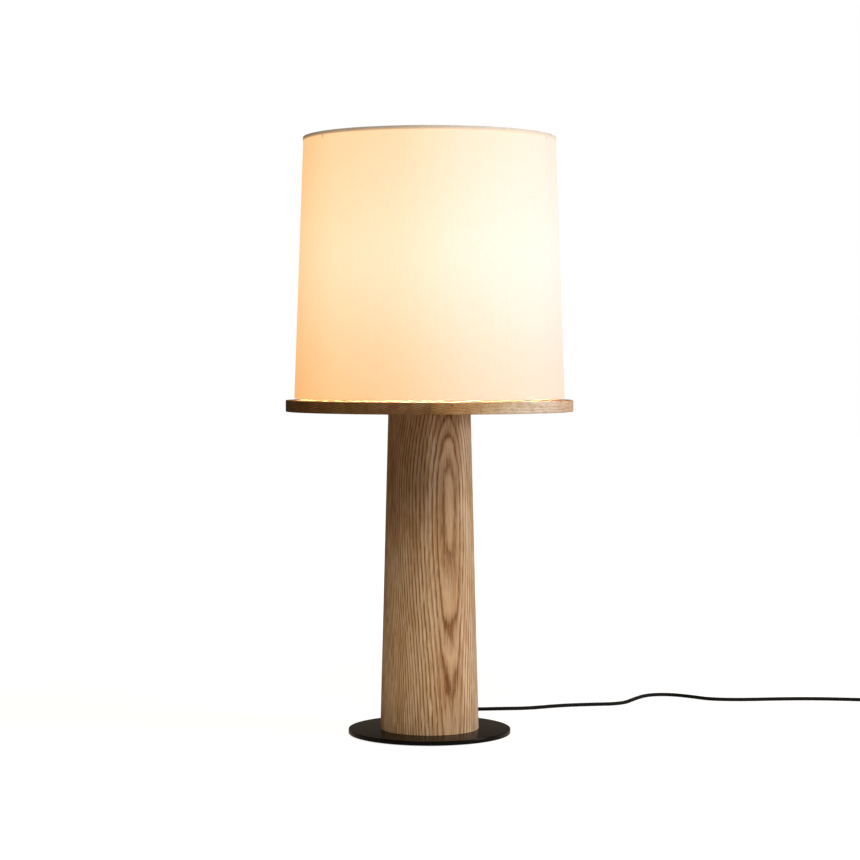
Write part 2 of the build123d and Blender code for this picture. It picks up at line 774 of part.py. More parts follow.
with BuildPart() as plug_blades:
    with Locations((cord_x, plug_front_y - blade_l / 2, plug_h / 2)):
        with GridLocations(blade_gap, 0, 2, 1):
            Box(blade_t, blade_l, blade_w)
    chamfer(plug_blades.faces().sort_by(Axis.Y)[:2].edges().filter_by(Axis.Z), 0.5)
keep(plug_blades, "plug_blades")
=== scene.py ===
# Column table lamp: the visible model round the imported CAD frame. The origin is the centre of the
# underside, +Z is up, -Y faces the camera. Profiles and routes are written in millimetres.
import json
from math import cos, pi, radians, sin, sqrt

import bmesh
import bpy
from mathutils import Matrix, Vector


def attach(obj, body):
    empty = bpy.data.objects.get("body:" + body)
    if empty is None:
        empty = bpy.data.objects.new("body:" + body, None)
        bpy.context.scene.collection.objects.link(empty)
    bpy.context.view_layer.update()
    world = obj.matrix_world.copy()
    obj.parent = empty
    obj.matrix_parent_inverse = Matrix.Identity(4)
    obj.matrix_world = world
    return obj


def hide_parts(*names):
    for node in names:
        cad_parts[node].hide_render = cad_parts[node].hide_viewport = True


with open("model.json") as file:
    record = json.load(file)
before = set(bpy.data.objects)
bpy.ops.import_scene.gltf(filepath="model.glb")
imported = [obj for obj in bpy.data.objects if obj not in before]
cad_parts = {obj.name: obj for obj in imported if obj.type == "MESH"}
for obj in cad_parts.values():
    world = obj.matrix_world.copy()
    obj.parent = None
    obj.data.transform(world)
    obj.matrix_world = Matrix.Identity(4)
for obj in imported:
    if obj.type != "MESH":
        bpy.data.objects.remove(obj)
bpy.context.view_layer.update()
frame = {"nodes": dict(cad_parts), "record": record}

MM = 0.001
scene = bpy.context.scene

# ---- dimensions, as in the part's source ------------------------------------------------
pad_r, pad_t = 108.0, 1.0
plate_r, plate_top = 115.0, 7.35
foot_r, head_r, column_top = 69.85, 58.4, 457.35
tray_r, tray_top, seam_x = 203.2, 473.35, 2.0
shade_bottom, shade_top = 475.95, 842.95
shade_bottom_r, shade_top_r = 191.0, 177.8
fabric_t, liner_t, hem_t, hem_h, ring_wire_d = 0.5, 0.8, 0.4, 5.0, 4.0
bore_r = 5.25  # the hole for the lamp pipe
washer_t, neck_h, saddle_t = 2.0, 70.0, 1.6
neck_base = tray_top + washer_t
neck_top = neck_base + neck_h
holder_base = neck_top + saddle_t
shell_base, shell_top = holder_base + 19.0, holder_base + 59.0
cap_top = holder_base + 56.0
globe_z, globe_r = cap_top + 46.0, 30.0
harp_wire_d, harp_foot_x, harp_wide_x = 3.6, 38.0, 58.0
hub_z, hub_top, stud_r = shade_top - 20.0, shade_top - 18.0, 3.175
spot_y, sleeve_end_y, exit_z = 68.8, 96.0, 22.0  # the bushing: its seat, its end and its height
cord_d = 5.5
lying = cord_d / 2  # the height of a cord that lies on the floor
arm_angles, lap_angle = (-145.0, -25.0, 95.0), 112.0
hem_fold = fabric_t + liner_t + ring_wire_d + 0.4  # how far inside the cloth a hem's fold ends


def shade_r(z):
    """The cloth's outside radius at a height."""
    share = (z - shade_bottom) / (shade_top - shade_bottom)
    return shade_bottom_r + (shade_top_r - shade_bottom_r) * share


# ---- shader graphs ----------------------------------------------------------------------
class Wire:
    """One socket of a shader graph. Arithmetic on it adds Math nodes."""

    def __init__(self, graph, socket):
        self.graph, self.socket = graph, socket

    def out(self, name):
        return Wire(self.graph, self.socket.node.outputs[name])

    def __add__(self, other):
        return self.graph.maths("ADD", self, other)

    def __sub__(self, other):
        return self.graph.maths("SUBTRACT", self, other)

    def __rsub__(self, other):
        return self.graph.maths("SUBTRACT", other, self)

    def __mul__(self, other):
        return self.graph.maths("MULTIPLY", self, other)

    def __truediv__(self, other):
        return self.graph.maths("DIVIDE", self, other)

    def __pow__(self, other):
        return self.graph.maths("POWER", self, other)

    __radd__, __rmul__ = __add__, __mul__

    def fract(self):
        return self.graph.maths("FRACT", self)

    def floor(self):
        return self.graph.maths("FLOOR", self)

    def size(self):
        return self.graph.maths("ABSOLUTE", self)

    def wave(self):
        return self.graph.maths("SINE", self)

    def at_least(self, other):
        return self.graph.maths("MAXIMUM", self, other)

    def smooth(self, low, high):
        """0 below low, 1 above high, with a soft step between; falls where low is the larger."""
        settings = {"interpolation_type": "SMOOTHSTEP", "clamp": True}
        rising = low < high
        values = {"Value": self, "From Min": min(low, high), "From Max": max(low, high)}
        values |= {"To Min": 0.0 if rising else 1.0, "To Max": 1.0 if rising else 0.0}
        return self.graph.node("ShaderNodeMapRange", settings, values)

    def ramp(self, *stops, easing="LINEAR"):
        """A colour (or grey, for a bare number) for each position along the value."""
        return self.graph.node("ShaderNodeValToRGB", {"stops": stops, "easing": easing}, {0: self})


class Graph:
    """The nodes of one material, or of the world."""

    def __init__(self, tree):
        self.tree = tree

    def node(self, kind, settings=None, values=None, out=0):
        made = self.tree.nodes.new(kind)
        for name, value in (settings or {}).items():
            if name == "stops":
                self.set_stops(made.color_ramp, value)
            elif name == "easing":
                made.color_ramp.interpolation = value
            else:
                setattr(made, name, value)
        for name, value in (values or {}).items():
            self.put(made.inputs[name], value)
        return Wire(self, made.outputs[out]) if len(made.outputs) else made

    def put(self, socket, value):
        if isinstance(value, Wire):
            self.tree.links.new(value.socket, socket)
        elif isinstance(value, tuple) and len(value) == 3 and socket.type == "RGBA":
            socket.default_value = (*value, 1.0)
        else:
            socket.default_value = value

    def set_stops(self, ramp, stops):
        while len(ramp.elements) < len(stops):
            ramp.elements.new(1.0)
        for element, (place, colour) in zip(ramp.elements, stops):
            element.position = place
            element.color = (*colour, 1.0) if isinstance(colour, tuple) else (colour,) * 3 + (1.0,)

    def maths(self, operation, *values):
        return self.node("ShaderNodeMath", {"operation": operation}, dict(enumerate(values)))

    def coordinates(self, kind="Object"):
        return self.node("ShaderNodeTexCoord", out=kind)

    def scaled(self, vector, by):
        return self.node("ShaderNodeVectorMath", {"operation": "SCALE"}, {0: vector, "Scale": by})

    def length(self, vector):
        return self.node("ShaderNodeVectorMath", {"operation": "LENGTH"}, {0: vector}, out="Value")

    def millimetres(self):
        return self.scaled(self.coordinates(), 1000.0)

    def stretched(self, vector, x, y, z, shift=(0.0, 0.0, 0.0)):
        """The vector measured in cells of x by y by z."""
        values = {"Vector": vector, "Scale": (1 / x, 1 / y, 1 / z), "Location": shift}
        return self.node("ShaderNodeMapping", {"vector_type": "POINT"}, values)

    def noise(self, vector, detail=2.0, roughness=0.5):
        values = {"Vector": vector, "Scale": 1.0, "Detail": detail, "Roughness": roughness}
        return self.node("ShaderNodeTexNoise", {}, values)

    def xyz(self, vector):
        split = self.node("ShaderNodeSeparateXYZ", {}, {0: vector})
        return split, split.out("Y"), split.out("Z")

    def mix(self, factor, first, second, blend="MIX"):
        settings = {"data_type": "RGBA", "blend_type": blend}
        return self.node("ShaderNodeMix", settings, {0: factor, 6: first, 7: second}, out=2)


class Finish(Graph):
    """A material with one Principled shader; constants go straight on to its sockets."""

    def __init__(self, name, **constants):
        self.material = bpy.data.materials.new(name)
        self.material.use_nodes = True
        super().__init__(self.material.node_tree)
        self.shader = self.tree.nodes["Principled BSDF"]
        self.set(**constants)

    def set(self, **values):
        for name, value in values.items():
            self.put(self.shader.inputs[name.replace("_", " ")], value)

    def bump(self, height, distance, strength=1.0):
        values = {"Height": height, "Distance": distance * MM, "Strength": strength}
        self.put(self.shader.inputs["Normal"], self.node("ShaderNodeBump", {}, values))


# ---- wood -------------------------------------------------------------------------------
pale_ash, warm_ash = (0.64, 0.475, 0.32), (0.54, 0.365, 0.215)
brown_line, dark_pore, brown_band = (0.2, 0.092, 0.033), (0.17, 0.085, 0.037), (0.27, 0.16, 0.082)
brown_fibre, light_fleck, knot_heart = (0.27, 0.165, 0.085), (0.74, 0.6, 0.46), (0.07, 0.03, 0.012)


def oiled_ash(finish, place, rings, along, deepen=None, knots=()):
    """Oiled ash: a brown line in each ring, pores in its early wood, fibres along the grain."""
    fibre_cells = {"Y": (5.0, 26.0, 0.8), "Z": (1.2, 1.2, 50.0)}[along]
    pore_cells = {"Y": (2.6, 9.0, 0.8), "Z": (1.0, 1.0, 42.0)}[along]
    cloud_cells = {"Y": (16.0, 90.0, 16.0), "Z": (18.0, 18.0, 90.0)}[along]
    fibres = finish.noise(finish.stretched(place, *fibre_cells), 3.0, 0.65)
    pores = finish.noise(finish.stretched(place, *pore_cells, shift=(3.1, 1.7, 5.2)), 3.0, 0.6)
    flecks = finish.noise(finish.stretched(place, *pore_cells, shift=(9.3, 4.4, 0.6)), 2.0, 0.6)
    clouds = finish.noise(finish.stretched(place, *cloud_cells), 2.0, 0.5)

    phase = rings.fract()
    fading = ((0.0, 1.0), (0.12, 0.9), (0.24, 0.4), (0.42, 0.1), (0.78, 0.0), (0.9, 0.4), (1.0, 1.0))
    line = phase.ramp(*fading)
    early = phase.ramp((0.0, 1.0), (0.35, 0.8), (0.6, 0.35), (0.9, 0.25), (1.0, 1.0))
    strength = finish.node("ShaderNodeTexWhiteNoise", {"noise_dimensions": "1D"}, {"W": rings.floor()})
    band_values = {"W": rings * 3.1, "Scale": 1.0, "Detail": 2.0}
    bands = finish.node("ShaderNodeTexNoise", {"noise_dimensions": "1D"}, band_values)
    line = line * (0.66 + 0.34 * strength) * (0.9 + 0.3 * clouds)
    # painted sheen: pale streaks just after each ring's brown line, in patches
    sheen_streak = phase.ramp((0.3, 0.0), (0.46, 1.0), (0.68, 0.7), (0.86, 0.0)) * clouds.smooth(0.62, 0.4)
    pore = pores.smooth(0.5, 0.66) * early
    fleck = flecks.smooth(0.5, 0.7)

    colour = finish.mix(clouds.smooth(0.35, 0.65), pale_ash, warm_ash)
    colour = finish.mix(bands.smooth(0.42, 0.7) * 0.4, colour, brown_band)
    colour = finish.mix(fibres.smooth(0.35, 0.7) * 0.42, colour, brown_fibre)
    colour = finish.mix(sheen_streak * 0.4, colour, (0.74, 0.6, 0.47))
    colour = finish.mix(line, colour, brown_line)
    colour = finish.mix(pore * {"Y": 0.65, "Z": 0.8}[along], colour, dark_pore)
    colour = finish.mix(fleck * {"Y": 0.3, "Z": 0.6}[along], colour, light_fleck)
    for centre, reach in knots:
        away = finish.node("ShaderNodeVectorMath", {"operation": "SUBTRACT"}, {0: place, 1: centre})
        wobble = finish.noise(finish.stretched(place, 2.0, 2.0, 2.0), 1.0)
        knot = (finish.length(away) + wobble).smooth(reach + 1.3, reach + 0.2)
        colour = finish.mix(knot * 0.85, colour, knot_heart)
    if deepen is not None:
        colour = finish.mix(1.0, colour, deepen, "MULTIPLY")
    finish.set(Base_Color=colour, Roughness=0.56 + 0.16 * pore + 0.08 * fibres)
    finish.bump(fibres * 0.3 - pore * 0.9 - line * 0.35, 0.12, 0.6)
    return finish.material


def column_ash():
    """The turned column's wood. Its rings stand behind each other as seen from the front right,
    and lean away to both ends, so they close into nested ovals there and run upright elsewhere."""
    finish = Finish("column_ash", Specular_IOR_Level=0.12)
    place = finish.millimetres()
    x, y, z = finish.xyz(place)
    face = radians(26.5)  # how far right of the front the ovals stand
    across = (x * sin(face) - y * cos(face)).size()
    radius = foot_r - (z - plate_top) * ((foot_r - head_r) / (column_top - plate_top))
    chord = (radius * (radius - across)).at_least(0.0) * 2.0
    lean = (z / 460.0).ramp(
        (0.02, 0.87),
        (0.13, 0.75),
        (0.25, 0.57),
        (0.37, 0.345),
        (0.49, 0.15),
        (0.6, 0.01),
        (0.73, 0.0),
        (0.8, 0.05),
        (0.86, 0.23),
        (0.92, 0.46),
        (1.0, 0.86),
        easing="CARDINAL",
    )
    wander = finish.noise(finish.stretched(place, 60.0, 60.0, 170.0, (2.3, 0.4, 1.1)), 1.0, 0.4)
    ripple = finish.noise(finish.stretched(place, 13.0, 13.0, 60.0), 2.0, 0.5)
    crinkle = finish.noise(finish.stretched(place, 3.0, 3.0, 26.0), 1.0)
    blunt = chord.smooth(110.0, 0.0) * z.smooth(350.0, 220.0) * 0.35
    rings = (20.25 + chord / 21.2) ** 0.5 - 3.9 + lean * 3.0 + blunt
    tight = (rings - 7.0).at_least(0.0)
    rings = rings + tight * tight * 0.045
    rings = rings + (wander - 0.5) * 0.5 + (ripple - 0.5) * 0.34 + (crinkle - 0.5) * 0.14
    heart = chord.smooth(700.0, 60.0).ramp((0.0, (1.0, 1.0, 1.0)), (1.0, (0.78, 0.69, 0.6)))
    return oiled_ash(finish, place, rings, "Z", heart)


def tray_ash(name, tilt, spacing, rim_tone_and_side_light, knots=()):
    """A tray board's wood: the grain runs front to back, so the front edge shows end grain.
    The rim's colour runs from the tray's left end, 0, to its right end, 1: the board's own tone, with
    painted shade darkening the left end and painted daylight making the right end paler and bluer."""
    finish = Finish(name, Specular_IOR_Level=0.12)
    place = finish.millimetres()
    x, _, z = finish.xyz(place)
    wander = finish.noise(finish.stretched(place, 70.0, 240.0, 40.0, (0.7, 2.9, 0.0)), 2.0, 0.5)
    ripple = finish.noise(finish.stretched(place, 16.0, 60.0, 9.0), 2.0, 0.5)
    rings = z * cos(tilt) - x * sin(tilt) + (wander - 0.5) * 9.0 + (ripple - 0.5) * 0.8
    from_axis = finish.length(finish.stretched(place, 1, 1, 1e6))
    right_board = x.smooth(seam_x - 0.2, seam_x + 0.2)
    top_colour = right_board.ramp((0.0, (0.98, 0.84, 0.7)), (1.0, (0.95, 0.92, 0.86)))
    # near the edge the board takes its own tone with the painted side light; further in, the plain top
    # colour
    board_tone_and_side_light = (x / (2.0 * tray_r) + 0.5).ramp(*rim_tone_and_side_light)
    board_tone_and_side_light = finish.mix(from_axis.smooth(tray_r - 13.0, tray_r - 1.0), top_colour, board_tone_and_side_light)
    return oiled_ash(finish, place, rings / spacing, "Y", board_tone_and_side_light, knots)


# ---- other finishes ---------------------------------------------------------------------
def powder_coat():
    finish = Finish("black_powder_coat", Specular_IOR_Level=0.12)
    place = finish.millimetres()
    grain = finish.noise(finish.stretched(place, 0.8, 0.8, 0.8), 2.0, 0.6)
    wear = finish.noise(finish.stretched(place, 45.0, 45.0, 20.0), 3.0, 0.6)
    finish.set(Base_Color=wear.ramp((0.3, (0.0013, 0.0013, 0.0012)), (0.75, (0.0026, 0.0026, 0.0024))))
    finish.set(Roughness=0.17 + 0.08 * wear + 0.06 * grain)
    finish.bump(grain, 0.03, 0.3)
    return finish.material


def rubber_foam():
    finish = Finish("foot_foam", Specular_IOR_Level=0.2)
    cells = finish.noise(finish.stretched(finish.millimetres(), 1.1, 1.1, 1.1), 3.0, 0.7)
    finish.set(Base_Color=cells.ramp((0.3, (0.018, 0.018, 0.018)), (0.7, (0.045, 0.045, 0.044))))
    finish.set(Roughness=0.9)
    finish.bump(cells, 0.2, 0.8)
    return finish.material


def metal(name, light, shade, rough):
    """Plated or brushed metal: fine turning marks and a slightly uneven polish."""
    finish = Finish(name, Metallic=1.0)
    place = finish.millimetres()
    marks = finish.noise(finish.stretched(place, 6.0, 6.0, 0.35), 2.0, 0.6)
    dulling = finish.noise(finish.stretched(place, 9.0, 9.0, 9.0), 3.0, 0.6)
    finish.set(Base_Color=dulling.ramp((0.35, shade), (0.65, light)))
    finish.set(Roughness=rough + 0.1 * dulling + 0.06 * marks)
    finish.bump(marks, 0.012, 0.5)
    return finish.material


def moulded(name, dark, light, rough, cell=0.5):
    """Moulded plastic with a fine eroded texture."""
    finish = Finish(name)
    place = finish.millimetres()
    grain = finish.noise(finish.stretched(place, cell, cell, cell), 2.0, 0.6)
    rubbed = finish.noise(finish.stretched(place, 8.0, 8.0, 8.0), 3.0, 0.6)
    finish.set(Base_Color=rubbed.ramp((0.35, dark), (0.7, light)))
    finish.set(Roughness=rough + 0.1 * grain + 0.12 * rubbed)
    finish.bump(grain, 0.03, 0.45)
    return finish.material


def pressed_fibre():
    finish = Finish("pressed_fibre", Specular_IOR_Level=0.2)
    place = finish.millimetres()
    fibres = finish.noise(finish.stretched(place, 0.5, 3.0, 0.5), 3.0, 0.7)
    finish.set(Base_Color=fibres.ramp((0.3, (0.27, 0.19, 0.11)), (0.7, (0.42, 0.32, 0.2))))
    finish.set(Roughness=0.85)
    finish.bump(fibres, 0.05, 0.5)
    return finish.material


def coated_wire():
    finish = Finish("white_coated_wire")
    place = finish.millimetres()
    coat = finish.noise(finish.stretched(place, 3.0, 3.0, 3.0), 3.0, 0.6)
    finish.set(Base_Color=coat.ramp((0.3, (0.6, 0.57, 0.52)), (0.7, (0.7, 0.68, 0.63))))
    finish.set(Roughness=0.38 + 0.15 * coat)
    finish.bump(coat, 0.04, 0.4)
    return finish.material


def weave(finish, place, scale=1.0):
    """(height, slubs) of a plain weave with uneven threads."""
    warp = finish.noise(finish.stretched(place, 0.75 * scale, 0.75 * scale, 26.0 * scale), 2.0, 0.6)
    weft = finish.noise(finish.stretched(place, 22.0 * scale, 22.0 * scale, 0.75 * scale), 2.0, 0.6)
    slubs = finish.stretched(place, 2.6 * scale, 2.6 * scale, 75.0 * scale, (4.0, 1.0, 2.0))
    slub = finish.noise(slubs, 2.0, 0.6)
    return warp * 0.6 + weft * 0.4, slub


# the glow through the cloth, from the bottom edge (0) to the top edge (1)
cloth_glow = (
    (0.0, (0.92, 0.505, 0.215)),
    (0.12, (0.92, 0.525, 0.235)),
    (0.3, (0.96, 0.615, 0.345)),
    (0.5, (1.0, 0.695, 0.445)),
    (0.66, (1.0, 0.67, 0.405)),
    (0.85, (0.96, 0.605, 0.33)),
    (1.0, (0.93, 0.575, 0.285)),
)
# painted light on the glow: what it is multiplied by from the left side (0) to the right (1), dimmer and
# oranger on the left and whiter on the right, where daylight meets it
painted_side_light_stops = (
    (0.0, (0.97, 0.84, 0.58)),
    (0.16, (1.0, 1.04, 0.9)),
    (0.5, (1.0, 1.0, 0.95)),
    (0.83, (1.0, 0.94, 1.1)),
    (1.0, (1.0, 0.87, 1.04)),
)


def spoke(x, y, angle, core, edge):
    """1 on the line that leaves the axis at an angle, 0 where a point is further beside it."""
    turn = radians(angle)
    beside = (y * cos(turn) - x * sin(turn)).size()
    return beside.smooth(edge, core) * (x * cos(turn) + y * sin(turn)).smooth(0.0, 9.0)


def lit_cloth():
    """The shade's cloth with the bulb behind it: brightest level with the bulb, each thread a little
    uneven, painted light that makes the glow oranger and dimmer on its left and whiter on its right,
    and painted shadows of the three spider arms just under the top hem."""
    finish = Finish("lit_shade_cloth", Roughness=0.9, Sheen_Weight=0.15, Specular_IOR_Level=0.15)
    finish.set(Emission_Strength=1.0)
    place = finish.millimetres()
    x, y, z = finish.xyz(place)
    threads, slub = weave(finish, place)
    height = (z - shade_bottom) / (shade_top - shade_bottom)
    glow = height.ramp(*cloth_glow, easing="B_SPLINE")
    # painted light: the glow multiplied across the shade, whiter on the right where daylight falls
    painted_side_light = (x / (2.0 * shade_bottom_r) + 0.5).ramp(*painted_side_light_stops, easing="B_SPLINE")
    glow = finish.mix(1.0, glow, painted_side_light, "MULTIPLY")
    glow = finish.scaled(glow, 0.955 + 0.05 * threads + 0.055 * slub)
    # painted shadows of the three spider arms, darkening the glow just under the top hem
    shadow = sum(spoke(x, y, angle, 0.5, 1.7) for angle in arm_angles)
    under_hem = z.smooth(shade_top - 10.4, shade_top - 8.8)
    glow = finish.mix(shadow * under_hem * 0.75, glow, (0.25, 0.1, 0.03))
    lap = spoke(x, y, lap_angle, 5.0, 5.6)  # the lap seam at the back, where the cloth is double
    glow = finish.mix(lap * 0.3, glow, (0.62, 0.34, 0.13))
    finish.set(Emission_Color=glow)
    finish.set(Base_Color=threads.ramp((0.3, (0.24, 0.25, 0.33)), (0.7, (0.29, 0.30, 0.40))))
    finish.bump(threads + lap * 3.0, 0.1, 0.35)
    return finish.material


def lit_liner():
    """The white film inside the shade. The bulb's light on it is painted in as a glow, brightest near the
    middle, level with the bulb.
    """
    finish = Finish("lit_shade_film", Roughness=0.5, Emission_Strength=1.0)
    place = finish.millimetres()
    z = finish.xyz(place)[2]
    height = (z - shade_bottom) / (shade_top - shade_bottom)
    mottle = finish.noise(finish.stretched(place, 30.0, 30.0, 30.0), 2.0, 0.5)
    lit = ((0.0, (0.4, 0.22, 0.09)), (0.5, (0.5, 0.34, 0.18)), (1.0, (0.4, 0.24, 0.11)))
    finish.set(Emission_Color=finish.scaled(height.ramp(*lit, easing="EASE"), 0.94 + 0.12 * mottle))
    finish.set(Base_Color=mottle.ramp((0.3, (0.27, 0.25, 0.22)), (0.7, (0.3, 0.28, 0.25))))
    return finish.material


def hem_tape():
    """The tape that binds the shade's top edge; light comes through its lower edge only."""
    finish = Finish("hem_tape", Roughness=0.85, Sheen_Weight=0.2, Specular_IOR_Level=0.15)
    finish.set(Emission_Strength=1.0)
    place = finish.millimetres()
    z = finish.xyz(place)[2]
    threads, slub = weave(finish, place, 0.8)
    tone = threads * 0.6 + slub * 0.4
    finish.set(Base_Color=tone.ramp((0.3, (0.47, 0.45, 0.42)), (0.7, (0.6, 0.58, 0.55))))
    lit = z.smooth(shade_top - 0.35 * hem_h, shade_top - hem_h)
    finish.set(Emission_Color=lit.ramp((0.0, (0.0, 0.0, 0.0)), (1.0, (0.36, 0.15, 0.04))))
    finish.bump(threads, 0.08, 0.4)
    return finish.material


def opal_glass():
    finish = Finish("lit_opal_glass", Roughness=0.12, Coat_Weight=0.6, Coat_Roughness=0.05)
    place = finish.millimetres()
    z = finish.xyz(place)[2]
    density = finish.noise(finish.stretched(place, 12.0, 12.0, 12.0), 2.0, 0.5)
    up_globe = z.smooth(cap_top + 1.5, cap_top + 38.0)
    glow = up_globe.ramp((0.0, (0.62, 0.4, 0.2)), (1.0, (1.0, 0.86, 0.62)))
    finish.set(Emission_Color=finish.scaled(glow, 0.97 + 0.06 * density), Emission_Strength=1.2)
    finish.set(Base_Color=(0.8, 0.78, 0.74))
    return finish.material


def lit_filament():
    finish = Finish("lit_filament", Roughness=0.4, Emission_Strength=2.0)
    beads = finish.noise(finish.stretched(finish.millimetres(), 0.8, 0.8, 1.2), 1.0)
    finish.set(Emission_Color=beads.ramp((0.3, (1.0, 0.6, 0.25)), (0.7, (1.0, 0.8, 0.5))))
    finish.set(Base_Color=(0.8, 0.6, 0.3))
    return finish.material


def braid(name, length):
    """Black braided textile over flex: two sets of strands that cross round the cord."""
    finish = Finish(name, Roughness=0.85, Specular_IOR_Level=0.08)
    run = finish.coordinates("UV")
    along, around, _ = finish.xyz(run)
    along = along * (length / (4.4 * MM))
    right = ((along + around * 8.0) * pi).wave().size()
    left = ((along - around * 8.0) * pi).wave().size()
    over = (right * 0.9).at_least(left)
    fuzz = finish.noise(finish.stretched(finish.millimetres(), 0.6, 0.6, 0.6), 2.0, 0.6)
    tone = over * 0.7 + fuzz * 0.3
    finish.set(Base_Color=tone.ramp((0.25, (0.0025, 0.0025, 0.0027)), (0.9, (0.013, 0.013, 0.014))))
    finish.bump(over + fuzz * 0.3, 0.35, 0.7)
    return finish.material


def woven_strap():
    finish = Finish("black_hook_strap", Roughness=0.9, Specular_IOR_Level=0.12)
    place = finish.millimetres()
    threads, _ = weave(finish, place, 0.5)
    finish.set(Base_Color=threads.ramp((0.3, (0.008, 0.008, 0.008)), (0.7, (0.022, 0.022, 0.023))))
    finish.bump(threads, 0.15, 0.6)
    return finish.material


ash_column = column_ash()
# the left board's rim: its own darker tone, with painted shade deepening towards the left end, away from
# the light
left_rim_tone_and_shade = (
    (0.02, (0.25, 0.2, 0.12)),
    (0.12, (0.36, 0.26, 0.165)),
    (0.25, (0.4, 0.355, 0.225)),
    (0.35, (0.45, 0.365, 0.3)),
    (0.47, (0.5, 0.435, 0.33)),
    (0.5, (0.38, 0.3, 0.185)),
)
# the right board's rim: its own paler tone, with painted daylight making it paler and bluer, past white,
# towards the right end
right_rim_tone_and_daylight = (
    (0.51, (0.56, 0.46, 0.3)),
    (0.586, (0.83, 0.755, 0.54)),
    (0.638, (0.9, 0.83, 0.7)),
    (0.707, (1.04, 1.12, 1.13)),
    (0.776, (1.1, 1.29, 1.49)),
    (0.879, (1.2, 1.43, 1.84)),
    (0.975, (1.09, 1.12, 1.22)),
)
right_knots = (((30.0, -201.0, tray_top - 3.6), 1.0), ((160.0, -126.0, tray_top - 4.0), 0.8))
ash_left = tray_ash("left_board_ash", radians(12.0), 2.6, left_rim_tone_and_shade)
ash_right = tray_ash("right_board_ash", radians(-1.5), 1.9, right_rim_tone_and_daylight, right_knots)
steel_black = powder_coat()
foam = rubber_foam()
zinc = metal("zinc_plate", (0.62, 0.62, 0.6), (0.45, 0.45, 0.44), 0.28)
brass = metal("satin_brass", (0.72, 0.53, 0.26), (0.6, 0.42, 0.19), 0.26)
nickel = metal("satin_nickel", (0.68, 0.65, 0.6), (0.55, 0.52, 0.48), 0.22)
fibre = pressed_fibre()
phenolic = moulded("dark_phenolic", (0.02, 0.016, 0.014), (0.04, 0.033, 0.028), 0.25, 1.5)
plastic = moulded("black_plastic", (0.009, 0.009, 0.01), (0.022, 0.022, 0.023), 0.42)
white_wire = coated_wire()
cloth, film, tape = lit_cloth(), lit_liner(), hem_tape()
glass, filament, webbing = opal_glass(), lit_filament(), woven_strap()

slot_finish = {
    "ash_wood": ash_right,
    "black_steel": steel_black,
    "foot_pad": foam,
    "zinc_steel": zinc,
    "brass": brass,
    "nickel": nickel,
    "insulation": fibre,
    "phenolic": phenolic,
    "bulb_glass": glass,
    "filament": filament,
    "shade_cloth": cloth,
    "shade_liner": film,
    "white_wire": white_wire,
    "cord_braid": braid("inner_lead_braid", 0.6),
    "black_plastic": plastic,
}
for part in frame["record"]["subparts"]:
    for held in frame["nodes"][part["node"]].material_slots:
        held.material = slot_finish[part["material_slot"]]


# ---- making pieces ----------------------------------------------------------------------
def piece(name, made, body, finish, stands_for=(), sharp=35.0):
    """Finish a bmesh as a piece that rides on a body and stands for CAD nodes."""
    for edge in made.edges:
        edge.smooth = edge.calc_face_angle(0.0) < radians(sharp)
    for face in made.faces:
        face.smooth = True
    mesh = bpy.data.meshes.new(name)
    made.to_mesh(mesh)
    made.free()
    mesh.materials.append(finish)
    return placed(bpy.data.objects.new(name, mesh), body, stands_for)


def placed(thing, body, stands_for=()):
    scene.collection.objects.link(thing)
    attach(thing, body)
    if stands_for:
        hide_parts(*stands_for)
    return thing


def bevel(made, geom, width, segments, affect):
    return bmesh.ops.bevel(
        made,
        geom=geom,
        offset=width * MM,
        offset_type="OFFSET",
        segments=segments,
        profile=0.5,
        affect=affect,
        material=-1,
    )


def turned(profile, steps=96, closed=True, centre_x=0.0):
    """Spin a profile of (radius, height) or (radius, height, rounding) about an upright axis."""
    made = bmesh.new()
    corners = [made.verts.new((point[0] * MM, 0.0, point[1] * MM)) for point in profile]
    pairs = list(zip(corners, corners[1:]))
    if closed:
        pairs.append((corners[-1], corners[0]))
    for pair in pairs:
        made.edges.new(pair)
    for corner, point in zip(corners, profile):
        if len(point) == 3:
            bevel(made, [corner], point[2], 4, "VERTICES")
    bmesh.ops.spin(
        made,
        geom=made.verts[:] + made.edges[:],
        cent=(0, 0, 0),
        axis=(0, 0, 1),
        angle=2 * pi,
        steps=steps,
        use_merge=True,
    )
    bmesh.ops.remove_doubles(made, verts=made.verts, dist=1e-7)
    bmesh.ops.recalc_face_normals(made, faces=made.faces)
    bmesh.ops.translate(made, verts=made.verts, vec=(centre_x * MM, 0.0, 0.0))
    return made


def arc(centre, radius, degrees):
    """Points of a profile round a centre."""
    turns = [radians(angle) for angle in degrees]
    return [(centre[0] + radius * cos(turn), centre[1] + radius * sin(turn)) for turn in turns]


def cap_holes(made):
    bmesh.ops.holes_fill(made, edges=[edge for edge in made.edges if edge.is_boundary], sides=0)


def wire(name, routes, thick, body, finish, stands_for=()):
    """A round wire along smooth routes of points."""
    curve = bpy.data.curves.new(name, "CURVE")
    curve.dimensions, curve.resolution_u = "3D", 8
    curve.bevel_depth, curve.bevel_resolution, curve.use_fill_caps = thick / 2 * MM, 5, True
    for route in routes:
        spline = curve.splines.new("NURBS")
        spline.points.add(len(route) - 1)
        for point, place in zip(spline.points, route):
            point.co = (*(Vector(place) * MM), 1.0)
        spline.order_u = 3
        spline.use_endpoint_u = True
    curve.materials.append(finish)
    return placed(bpy.data.objects.new(name, curve), body, stands_for)


